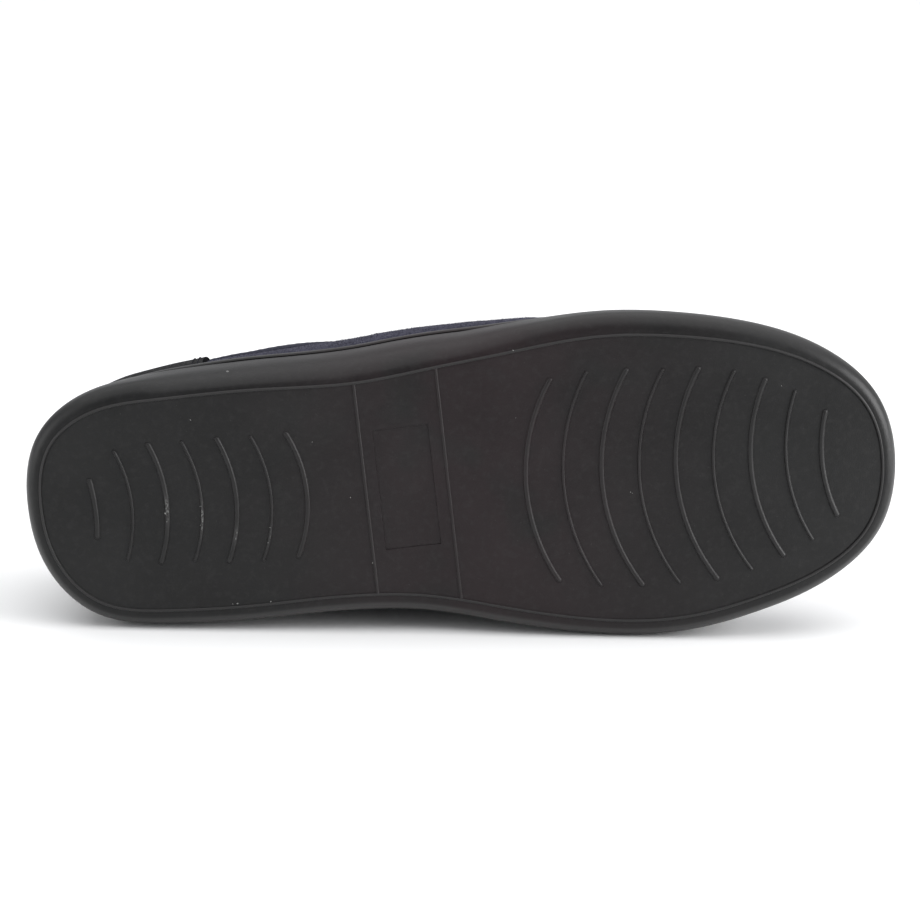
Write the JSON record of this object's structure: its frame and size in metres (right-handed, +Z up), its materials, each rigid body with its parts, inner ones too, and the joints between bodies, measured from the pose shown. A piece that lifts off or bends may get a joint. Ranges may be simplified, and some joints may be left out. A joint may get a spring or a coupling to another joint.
{
  "type": "moccasin slipper",
  "caption": "Right-foot moccasin slipper with a hollow upper and a moulded cup sole with curved tread ribs, lying on its inner side.",
  "frame": {"origin": "centre of the footprint of the shoe's bounding box on the floor, as it lies on its inner side", "axes": "+X from heel to toe, +Y from the tread towards the collar, +Z up from the inner side of the shoe to its outer side"},
  "size_m": [0.297, 0.0802, 0.1123],
  "materials": {
    "sole_rubber": "matt moulded",
    "upper_nap": "napped suedette",
    "counter_panel": "matt",
    "binding_cloth": "matt",
    "sock_pile": "soft pile"
  },
  "bodies": {
    "root": {"outsole": "sole_rubber", "upper": "upper_nap", "apron": "upper_nap", "heel_counter": "counter_panel", "collar_binding": "binding_cloth", "insole": "sock_pile"}
  },
  "joints": []
}
